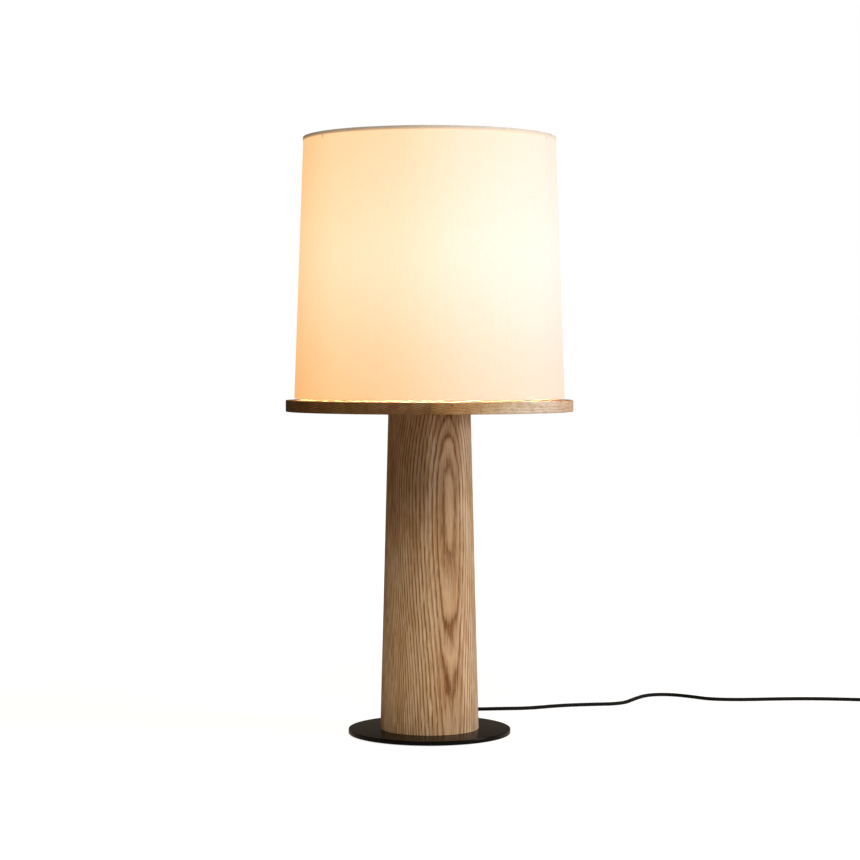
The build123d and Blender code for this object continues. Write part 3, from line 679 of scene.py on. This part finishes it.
# ---- base and column --------------------------------------------------------------------
pad_profile = [(0.0, 0.0), (pad_r - 0.3, 0.0), (pad_r, 0.3), (pad_r, pad_t), (0.0, pad_t)]
piece("foot_pad", turned(pad_profile, 128, closed=False), "lamp", foam, ["base_pad"])
plate_profile = [(0.0, pad_t), (plate_r, pad_t, 0.8), (plate_r, plate_top, 0.8), (0.0, plate_top)]
plate = turned(plate_profile, 192, closed=False)
piece("steel_base", plate, "lamp", steel_black, ["base_plate"])
recess_r, recess_top = 24.0, 51.35  # the hollow in the column's foot, for the pipe's nut
column_profile = [
    (recess_r, plate_top),
    (foot_r, plate_top, 0.6),
    (head_r, column_top, 0.6),
    (bore_r, column_top),
    (bore_r, recess_top),
    (recess_r, recess_top),
]
piece("turned_column", turned(column_profile, 192), "lamp", ash_column, ["column"])


# ---- tray -------------------------------------------------------------------------------
def tray_board(name, node, finish, left):
    profile = [(bore_r, column_top), (tray_r, column_top, 0.7)]
    profile += [(tray_r, tray_top, 0.7), (bore_r, tray_top)]
    made = turned(profile, 256)
    bmesh.ops.bisect_plane(
        made,
        geom=made.verts[:] + made.edges[:] + made.faces[:],
        plane_co=(seam_x * MM, 0, 0),
        plane_no=(1, 0, 0),
        clear_outer=left,
        clear_inner=not left,
    )
    cap_holes(made)
    bmesh.ops.recalc_face_normals(made, faces=made.faces)
    piece(name, made, "lamp", finish, [node])


tray_board("left_board", "tray_left_board", ash_left, True)
tray_board("right_board", "tray_right_board", ash_right, False)

# ---- shade ------------------------------------------------------------------------------
cloth_bottom, cloth_top = shade_bottom + hem_t, shade_top - hem_t


def wall(outer, inner, low, high):
    """A tapered wall between two depths inside the cloth's outside face."""
    return [
        (shade_r(low) - inner, low),
        (shade_r(low) - outer, low),
        (shade_r(high) - outer, high),
        (shade_r(high) - inner, high),
    ]


cloth_wall = turned(wall(0.0, fabric_t, cloth_bottom, cloth_top), 192)
shade_cloth = piece("shade_cloth", cloth_wall, "shade", cloth, ["shade_fabric"])
film_wall = turned(wall(fabric_t, fabric_t + liner_t, cloth_bottom, cloth_top), 192)
piece("shade_film", film_wall, "shade", film, ["shade_liner"])
hem_low = shade_top - hem_h
top_hem_profile = [
    (shade_r(hem_low), hem_low),
    (shade_r(hem_low) + hem_t, hem_low),
    (shade_r(shade_top) + hem_t, shade_top, 0.35),
    (shade_r(shade_top) - hem_fold - hem_t, shade_top, 0.35),
    (shade_r(hem_low) - hem_fold - hem_t, hem_low),
    (shade_r(hem_low) - hem_fold, hem_low),
    (shade_r(cloth_top) - hem_fold, cloth_top),
    (shade_r(cloth_top), cloth_top),
]
hem_high = shade_bottom + hem_h
bottom_hem_profile = [
    (shade_r(shade_bottom), shade_bottom),
    (shade_r(cloth_bottom), cloth_bottom),
    (shade_r(cloth_bottom) - hem_fold, cloth_bottom),
    (shade_r(hem_high) - hem_fold, hem_high),
    (shade_r(hem_high) - hem_fold - hem_t, hem_high),
    (shade_r(shade_bottom) - hem_fold - hem_t, shade_bottom, 0.3),
]
top_hem, bottom_hem = turned(top_hem_profile, 192), turned(bottom_hem_profile, 192)
top_tape = piece("top_hem_tape", top_hem, "shade", tape, ["top_hem"])
bottom_tape = piece("bottom_hem_tape", bottom_hem, "shade", cloth, ["bottom_hem"])

top_ring_z, bottom_ring_z = shade_top - 2.5, shade_bottom + 2.5
ring_inset = fabric_t + liner_t + ring_wire_d / 2 + 0.2
for name, ring_z in (("top_ring", top_ring_z), ("bottom_ring", bottom_ring_z)):
    ring_r = shade_r(ring_z) - ring_inset
    section = arc((ring_r, ring_z), ring_wire_d / 2, range(0, 360, 30))
    piece(name + "_wire", turned(section, 192), "shade", white_wire, [name], sharp=60.0)

top_ring_r = shade_r(top_ring_z) - ring_inset
arm_z = hub_z + 1.5
arms = []
for angle in arm_angles:
    outward = Vector((cos(radians(angle)), sin(radians(angle)), 0.0))
    run = ((12.0, arm_z), (80.0, arm_z), (top_ring_r - 38.0, arm_z), (top_ring_r - 26.0, arm_z))
    run += ((top_ring_r - 14.0, (arm_z + top_ring_z) / 2), (top_ring_r - 2.8, top_ring_z))
    arms.append([outward * along + Vector((0, 0, z)) for along, z in run])
wire("spider_arms", arms, 3.0, "shade", white_wire, ["spider"])
hub_hole_r, hub_r = stud_r + 0.4, 14.0
hub_profile = [(hub_hole_r, hub_z), (hub_r, hub_z, 0.5), (hub_r, hub_top, 0.5), (hub_hole_r, hub_top)]
piece("spider_hub", turned(hub_profile, 64), "shade", white_wire, ["spider"])

# ---- finial -----------------------------------------------------------------------------
finial_bore_r, bore_top = stud_r + 0.08, hub_top + 15.0
ball_r, ball_z = 8.0, hub_top + 13.0
finial_profile = [
    (0.0, bore_top),
    (finial_bore_r, bore_top),
    (finial_bore_r, hub_top),
    (7.0, hub_top, 0.3),
    (7.0, hub_top + 2.0, 0.5),
    (4.6, hub_top + 4.0, 0.8),
    (4.6, ball_z - 6.9, 0.3),
]
finial_profile += arc((0.0, ball_z), ball_r, range(-50, 90, 7))
finial_profile += [(0.0, ball_z + ball_r)]
knob = turned(finial_profile, 64, closed=False)
piece("turned_finial", knob, "finial", brass, ["finial"])

# ---- harp -------------------------------------------------------------------------------
leg_z, bridge_z = holder_base + 9.5, hub_z - 6.0
harp_half = [
    (harp_foot_x, leg_z),
    (harp_foot_x, leg_z + 25.0),
    (harp_foot_x, leg_z + 38.0),
    (42.4, leg_z + 50.7),
    (48.2, leg_z + 67.6),
    (harp_wide_x, leg_z + 96.0),
    (harp_wide_x, leg_z + 125.0),
    (harp_wide_x, leg_z + 155.0),
    (harp_wide_x, leg_z + 176.0),
    (51.8, leg_z + 196.0),
    (42.4, bridge_z - 34.0),
    (32.0, bridge_z),
]
harp_route = [(x, 0, z) for x, z in harp_half] + [(0, 0, bridge_z)]
harp_route += [(-x, 0, z) for x, z in reversed(harp_half)]
wire("harp_wire", [harp_route], harp_wire_d, "harp", nickel, ["harp"])
root_r, stud_top = stud_r - 0.3, hub_z + 15.0
stud_profile = [
    (0.0, bridge_z - 3.6),
    (5.0, bridge_z - 3.6, 0.6),
    (5.0, hub_z - 2.2),
    (9.5, hub_z - 1.6, 0.3),
    (9.5, hub_z, 0.3),
    (root_r, hub_z),
]
for turn in range(15):
    thread_z = hub_z + 0.35 + 0.94 * turn
    stud_profile += [(root_r, thread_z), (stud_r, thread_z + 0.35), (root_r, thread_z + 0.7)]
stud_profile += [(stud_r - 0.8, stud_top), (0.0, stud_top)]
stud = turned(stud_profile, 32, closed=False)
piece("harp_stud_fitting", stud, "harp", brass, ["harp_stud"], sharp=25.0)
for side, foot_x in (("left", -harp_foot_x), ("right", harp_foot_x)):
    ferrule_profile = [
        (2.75, holder_base),
        (4.2, holder_base, 0.3),
        (4.2, holder_base + 3.0),
        (3.95, holder_base + 3.3),
        (3.95, holder_base + 4.2),
        (4.2, holder_base + 4.5),
        (4.2, holder_base + 13.0, 0.6),
        (3.0, holder_base + 16.0, 0.3),
        (1.9, holder_base + 16.0),
        (1.9, holder_base + 11.5),
        (2.75, holder_base + 10.5),
    ]
    sleeve = turned(ferrule_profile, 40, centre_x=foot_x)
    piece(f"harp_ferrule_{side}", sleeve, f"ferrule_{side}", nickel, [f"ferrule_{side}"])

# ---- neck and lampholder ----------------------------------------------------------------
washer_profile = [(bore_r, tray_top), (17.0, tray_top), (17.0, neck_base, 0.7), (bore_r, neck_base)]
piece("brass_washer", turned(washer_profile, 96), "lamp", brass, ["tray_washer"])
neck_profile = [
    (8.5, neck_base),
    (10.0, neck_base, 0.3),
    (10.0, neck_top - 3.0, 0.8),
    (8.5, neck_top, 0.4),
    (bore_r, neck_top),
    (bore_r, neck_top - 2.5),
    (8.5, neck_top - 4.0),
]
piece("neck_tube", turned(neck_profile, 64), "lamp", brass, ["neck"])
holder_cap_profile = [
    (5.0, holder_base),
    (8.0, holder_base, 0.4),
    (8.0, holder_base + 5.0, 0.6),
    (14.0, holder_base + 11.0, 2.5),
    (17.4, holder_base + 17.0, 2.0),
    (17.4, holder_base + 22.0, 0.35),
    (16.6, holder_base + 22.0),
    (16.6, holder_base + 17.4),
    (13.3, holder_base + 12.0),
    (7.0, holder_base + 7.5),
    (5.0, holder_base + 7.5),
]
piece("holder_cap", turned(holder_cap_profile, 64), "lamp", brass, ["socket_cap"])
shell_r, shell_inner_r = 16.5, 15.9
shell_profile = [(shell_inner_r, shell_base), (shell_r, shell_base)]
for bead_z in (shell_base + 9.0, shell_base + 14.0, shell_base + 30.0):
    for along, proud in ((-1.2, 0.0), (-0.6, 0.3), (0.0, 0.4), (0.6, 0.3), (1.2, 0.0)):
        shell_profile.append((shell_r + proud, bead_z + along))
for down, proud in ((3.0, 0.0), (2.2, 0.6), (1.5, 0.8), (0.8, 0.6), (0.0, 0.0)):
    shell_profile.append((shell_r + proud, shell_top - down))
shell_profile.append((shell_inner_r, shell_top))
piece("holder_shell", turned(shell_profile, 64), "lamp", brass, ["socket_shell"])

# ---- cord bushing -----------------------------------------------------------------------
bushing_profile = [
    (2.8, spot_y - 18.0),
    (4.7, spot_y - 18.0),
    (4.7, spot_y),
    (7.0, spot_y, 0.3),
    (7.0, spot_y + 3.2, 0.9),
    (5.6, spot_y + 3.2, 0.4),
]
for groove in range(4):
    groove_y, floor_r = spot_y + 8.0 + 5.0 * groove, 4.4 - 0.28 * groove
    sleeve_r = [5.6 - (y - spot_y - 3.2) * 0.075 for y in (groove_y, groove_y + 1.4)]
    bushing_profile += [(sleeve_r[0], groove_y), (floor_r, groove_y + 0.2), (floor_r, groove_y + 1.2)]
    bushing_profile += [(sleeve_r[1], groove_y + 1.4)]
bushing_profile += [(3.8, sleeve_end_y - 0.6), (3.4, sleeve_end_y), (2.8, sleeve_end_y)]
bushing = turned(bushing_profile, 48)
bmesh.ops.rotate(bushing, verts=bushing.verts, matrix=Matrix.Rotation(-pi / 2, 3, "X"))
bmesh.ops.translate(bushing, verts=bushing.verts, vec=(0, 0, exit_z * MM))
piece("cord_sleeve", bushing, "lamp", plastic, ["cord_bushing"])

# ---- bulb -------------------------------------------------------------------------------
bulb_outline = [(12.4, cap_top - 6.0), (13.6, cap_top + 4.0)]
bulb_outline += arc((0.0, globe_z), globe_r, range(-38, 90, 8))
bulb_outline += [(0.0, globe_z + globe_r)]
globe = turned(bulb_outline, 64, closed=False)
piece("opal_globe", globe, "bulb", glass, ["bulb_glass"], sharp=60.0)

# ---- cords ------------------------------------------------------------------------------
lamp_side_route = [
    (0, sleeve_end_y, exit_z),
    (0, 122, exit_z),
    (3, 151, 9.5),
    (9, 178, lying),
    (32, 200, lying),
    (72, 200, lying),
    (112, 206, lying),
    (150, 209, lying),
    (196, 235, lying),
    (242, 247, lying),
    (296, 254, lying),
    (320, 306, lying),
    (342, 344, lying),
    (376, 352, lying),
    (410, 328, lying),
    (436, 300, lying),
    (486, 295, lying),
    (540, 303, lying),
    (598, 306, lying),
    (652, 298, lying),
    (700, 290, lying),
    (722, 262, 3.15),
    (724, 236, 8),
    (724, 214, 8),
]
coil_x, coil_y = 691.25, 100.0
# degrees wound so far, radius and height: two turns on the floor, one inside the other, two on them
winding = [
    (0, 32.85, lying),
    (285, 32.85, lying),
    (360, 27.2, lying),
    (590, 27.2, lying),
    (655, 27.2, 8.3),
    (1005, 27.2, 8.3),
    (1080, 32.85, 8.3),
    (1285, 32.85, 8.3),
    (1372, 32.85, 13.85),
    (1440, 32.85, 13.85),
]
points_a_turn = 16
spline_shrink = 0.981  # how far inside its control points a spline of that many runs


def coil_point(wound):
    """The cord's place when so many degrees are wound."""
    for (start, r0, z0), (end, r1, z1) in zip(winding, winding[1:]):
        if start <= wound <= end:
            share = (wound - start) / (end - start)
            turn_r = (r0 + (r1 - r0) * share) / spline_shrink
            turn = radians(wound)
            return coil_x + turn_r * cos(turn), coil_y - turn_r * sin(turn), z0 + (z1 - z0) * share


plug_side_route = [(724, 176, 8), (724, 156, 8), (724.5, 137, 3.35), (724, 119, lying)]
plug_side_route += [coil_point(step * 360 / points_a_turn) for step in range(points_a_turn * 4 + 1)]
plug_side_route += [(724, 82, 12.2), (724, 68, 8.6), (724, 52, 8)]

cord_nodes = {
    "lamp_side_cord": ["cord_lamp_side"],
    "plug_side_cord": ["cord_plug_side", "cord_coil", "cord_tail"],
}
for name, route, leaves, length, end, lay in (
    ("lamp_side_cord", lamp_side_route, (0, sleeve_end_y * MM, exit_z * MM), 0.93, "fitting", "loose"),
    ("plug_side_cord", plug_side_route, (0.724, 0.176, 0.008), 0.88, "plug", "coiled"),
):
    braided = braid(name + "_braid", length)
    made_cord = wire(name, [route], cord_d, "lamp", braided, cord_nodes[name])

# ---- in-line switch, plug and coil tie ----------------------------------------------------
cord_x, switch_y, split_z, switch_h = 724.0, 195.0, 8.0, 17.0
switch_plan = [(5, 31), (12.5, 20), (12.5, -20), (5, -31), (-5, -31), (-12.5, -20), (-12.5, 20), (-5, 31)]


def loop(made, points, rounding=0.0, segments=4):
    """A closed run of edges through the points, with its corners rounded."""
    corners = [made.verts.new(Vector(point) * MM) for point in points]
    edges = [made.edges.new((a, b)) for a, b in zip(corners, corners[1:] + corners[:1])]
    if rounding:
        rounded = bevel(made, corners, rounding, segments, "VERTICES")
        edges = list({edge for vertex in rounded["verts"] for edge in vertex.link_edges})
    return edges


def shift(made, drawn, way):
    """Move what an extrusion has drawn."""
    verts = [item for item in drawn["geom"] if isinstance(item, bmesh.types.BMVert)]
    bmesh.ops.translate(made, verts=verts, vec=Vector(way) * MM)


def draw_out(made, outline, way):
    """Close an outline and draw it out into a block."""
    bmesh.ops.holes_fill(made, edges=outline, sides=0)
    shift(made, bmesh.ops.extrude_face_region(made, geom=made.faces[:]), way)


def level(made, z):
    """The edges that lie at a height."""
    return [edge for edge in made.edges if all(abs(vertex.co.z - z * MM) < 1e-6 for vertex in edge.verts)]


def switch_half(low, high, top_rounding, bottom_rounding):
    made = bmesh.new()
    outline = loop(made, [(cord_x + x, switch_y + y, low) for x, y in switch_plan], 2.4)
    draw_out(made, outline, (0, 0, high - low))
    bevel(made, level(made, high), top_rounding, 3, "EDGES")
    bevel(made, level(made, low), bottom_rounding, 3, "EDGES")
    bmesh.ops.recalc_face_normals(made, faces=made.faces)
    return made


def top_faces(made):
    return [face for face in made.faces if face.calc_center_median().z > (switch_h - 0.01) * MM]


lower_half = switch_half(0.0, split_z - 0.12, 0.25, 1.6)
piece("switch_lower_half", lower_half, "lamp", plastic, ["switch_base"])

cover = switch_half(split_z + 0.12, switch_h, 2.2, 0.25)
switch_centre = Vector((cord_x, switch_y, switch_h))
for across, reach in ((Vector((1, 0, 0)), 5.9), (Vector((0, 1, 0)), 10.4)):
    for side in (-reach, reach):
        cut = set(top_faces(cover))
        cut |= {edge for face in top_faces(cover) for edge in face.edges}
        cut |= {vertex for face in top_faces(cover) for vertex in face.verts}
        at = (switch_centre + across * side) * MM
        bmesh.ops.bisect_plane(cover, geom=list(cut), plane_co=at, plane_no=across)
window_face = min(
    top_faces(cover),
    key=lambda face: (face.calc_center_median() - switch_centre * MM).length,
)
shift(cover, bmesh.ops.extrude_face_region(cover, geom=[window_face]), (0, 0, -7.5))
bmesh.ops.delete(cover, geom=[window_face], context="FACES_ONLY")
bmesh.ops.recalc_face_normals(cover, faces=cover.faces)
piece("switch_upper_half", cover, "lamp", plastic, ["switch_cover"])

rocker = bmesh.new()
rocker_side = [(-9.8, -1.0), (-8.5, 7.6)]
for step in range(-10, 11):
    y, rib = 0.79 * step, 0.25 if step % 2 else 0.0
    rocker_side.append((y, 4.75 + 2.9 * (y / 8.4) ** 2 - rib))
rocker_side += [(8.5, 7.6), (9.8, -1.0), (3.0, -4.0), (-3.0, -4.0)]
rocker_w, rocker_tilt = 10.6, radians(8.0)
draw_out(rocker, loop(rocker, [(-rocker_w / 2, y, z) for y, z in rocker_side]), (rocker_w, 0, 0))
bmesh.ops.recalc_face_normals(rocker, faces=rocker.faces)
bmesh.ops.rotate(rocker, verts=rocker.verts, matrix=Matrix.Rotation(rocker_tilt, 3, "X"))
bmesh.ops.translate(rocker, verts=rocker.verts, vec=(cord_x * MM, switch_y * MM, 12.2 * MM))
piece("rocker_key", rocker, "rocker", plastic, ["switch_rocker"], sharp=25.0)


def rounded_oblong(y, width, height):
    """The corners of the plug's section; its middle sinks a little towards the blades."""
    centre_z = 7.5 + (y - 30.0) / 64.0
    half_w, half_h = width / 2, height / 2
    corners = ((-1, -1), (1, -1), (1, 1), (-1, 1))
    return [(cord_x + half_w * a, y, centre_z + half_h * b) for a, b in corners]


# the plug from the cord to the blades: place, width, height
plug_stations = [(62.0, 8.0, 8.0), (61.4, 9.0, 9.0), (58.0, 10.0, 9.6), (54.0, 13.2, 10.8)]
plug_stations += [(50.0, 17.6, 12.0), (46.5, 21.2, 13.0), (44.0, 23.2, 13.8)]
for grip_y in (41.8, 39.4, 37.0, 34.6):
    plug_stations += [(grip_y + 0.6, 24.4, 14.6), (grip_y + 0.25, 23.6, 14.0)]
    plug_stations += [(grip_y - 0.25, 23.6, 14.0), (grip_y - 0.6, 24.6, 14.8)]
plug_stations += [(30.9, 25.0, 15.0), (30.3, 24.6, 14.6), (30.0, 23.4, 13.4)]
plug = bmesh.new()
sections = [loop(plug, rounded_oblong(*station), 3.4, 5) for station in plug_stations]
for one, other in zip(sections, sections[1:]):
    bmesh.ops.bridge_loops(plug, edges=one + other)
cap_holes(plug)
bmesh.ops.recalc_face_normals(plug, faces=plug.faces)
piece("moulded_plug", plug, "lamp", plastic, ["plug_body"], sharp=30.0)

tie = bmesh.new()
tie_x, tie_y, half_tie = coil_x - 30.0, coil_y - 4.5, 6.2
tie_low, tie_high, tie_w, tie_t = 0.35, 11.5, 9.0, 0.5
tie_corners = ((-1, tie_low), (1, tie_low), (1, tie_high), (-1, tie_high))
tie_edges = loop(tie, [(tie_x + half_tie * side, tie_y, z) for side, z in tie_corners], 2.6, 6)
shift(tie, bmesh.ops.extrude_edge_only(tie, edges=tie_edges), (0, tie_w, 0))
bmesh.ops.recalc_face_normals(tie, faces=tie.faces)
bmesh.ops.solidify(tie, geom=tie.faces[:], thickness=tie_t * MM)
piece("coil_tie", tie, "lamp", webbing)

# ---- floor, light and camera ------------------------------------------------------------
floor_mesh = bmesh.new()
bmesh.ops.create_grid(floor_mesh, x_segments=1, y_segments=1, size=12.0)
bmesh.ops.translate(floor_mesh, verts=floor_mesh.verts, vec=(0, 0, -0.0004))
floor_data = bpy.data.meshes.new("studio_floor")
floor_mesh.to_mesh(floor_data)
floor_mesh.free()
studio_floor = bpy.data.objects.new("studio_floor", floor_data)
scene.collection.objects.link(studio_floor)


def seen_white(graph):
    """1 where the camera looks, and a little of it for a gloss: there the surround is white."""
    ray = graph.node("ShaderNodeLightPath")
    direct = ray.out("Is Camera Ray").at_least(ray.out("Is Transmission Ray"))
    return direct.at_least(ray.out("Is Glossy Ray") * 0.06)


floor_material = bpy.data.materials.new("white_paper")
floor_material.use_nodes = True
paper = Graph(floor_material.node_tree)
paper.tree.nodes.clear()
bounce = paper.node("ShaderNodeBsdfDiffuse", {}, {"Color": (0.5, 0.44, 0.37)})
shadowed = paper.node("ShaderNodeBsdfDiffuse", {}, {"Color": (0.3, 0.3, 0.3)})
brightness = 0.86 + 0.14 * paper.length(paper.coordinates()).smooth(0.7, 1.3)
white = paper.node("ShaderNodeEmission", {}, {"Color": (1.0, 1.0, 1.0), "Strength": brightness})
shown = paper.node("ShaderNodeAddShader", {}, {0: shadowed, 1: white})
paper_look = paper.node("ShaderNodeMixShader", {}, {0: seen_white(paper), 1: bounce, 2: shown})
paper.node("ShaderNodeOutputMaterial", {}, {"Surface": paper_look})
floor_data.materials.append(floor_material)

world = bpy.data.worlds.new("studio_air")
scene.world = world
world.use_nodes = True
air = Graph(world.node_tree)
air.tree.nodes.clear()
room = air.node("ShaderNodeBackground", {}, {"Color": (1.0, 0.62, 0.28), "Strength": 0.08})
backdrop = air.node("ShaderNodeBackground", {}, {"Color": (1.0, 1.0, 1.0), "Strength": 1.0})
air_look = air.node("ShaderNodeMixShader", {}, {0: seen_white(air), 1: room, 2: backdrop})
air.node("ShaderNodeOutputWorld", {}, {"Surface": air_look})


def light(name, kind, place, watts, colour, aim=None, **settings):
    """A light of the studio or the bulb's own; an area light is a soft disc."""
    data = bpy.data.lights.new(name, kind)
    data.energy, data.color = watts, colour
    if kind == "AREA":
        data.shape = "DISK"
    for setting, value in settings.items():
        setattr(data, setting, value)
    thing = bpy.data.objects.new(name, data)
    thing.location = place
    if aim:
        thing.rotation_euler = (Vector(aim) - Vector(place)).to_track_quat("-Z", "Y").to_euler()
    scene.collection.objects.link(thing)
    return thing


daylight, warm_white, lamplight = (1.0, 0.98, 0.96), (1.0, 0.94, 0.86), (1.0, 0.82, 0.6)
light("window", "AREA", (2.7, -0.8, 0.72), 51.0, daylight, (0, 0, 0.42), size=1.0)
light("high_window", "AREA", (2.2, -0.9, 2.2), 28.0, daylight, (0, 0, 0.3), size=1.2)
light("front_fill", "AREA", (-0.1, -2.0, 2.9), 61.0, (1.0, 0.88, 0.7), (0, 0, 0.2), size=1.8)
back_fill = light("back_fill", "AREA", (1.1, 2.8, 1.3), 26.0, warm_white, (0, 0, 0.45), size=1.6)
back_fill.visible_glossy = False
foot_light = light("foot_light", "SPOT", (-0.35, -1.2, 0.9), 24.0, (1.0, 0.86, 0.66), (0, 0, 0.02))
foot_light.data.shadow_soft_size = 0.15
foot_light.data.spot_size, foot_light.data.spot_blend = radians(16.0), 1.0
bulb_light = light("bulb_light", "POINT", (0, 0, globe_z * MM), 390.0, lamplight, shadow_soft_size=0.031)
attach(bulb_light, "bulb")

camera = bpy.data.objects.new("camera", bpy.data.cameras.new("camera"))
camera.location = (0.0007, -3.185, 0.530)
camera.rotation_euler = (radians(90.0 - 1.782), 0.0, 0.0)
camera.data.lens, camera.data.sensor_width = 94.19, 36.0
scene.collection.objects.link(camera)
scene.camera = camera
scene.view_settings.view_transform = "Standard"
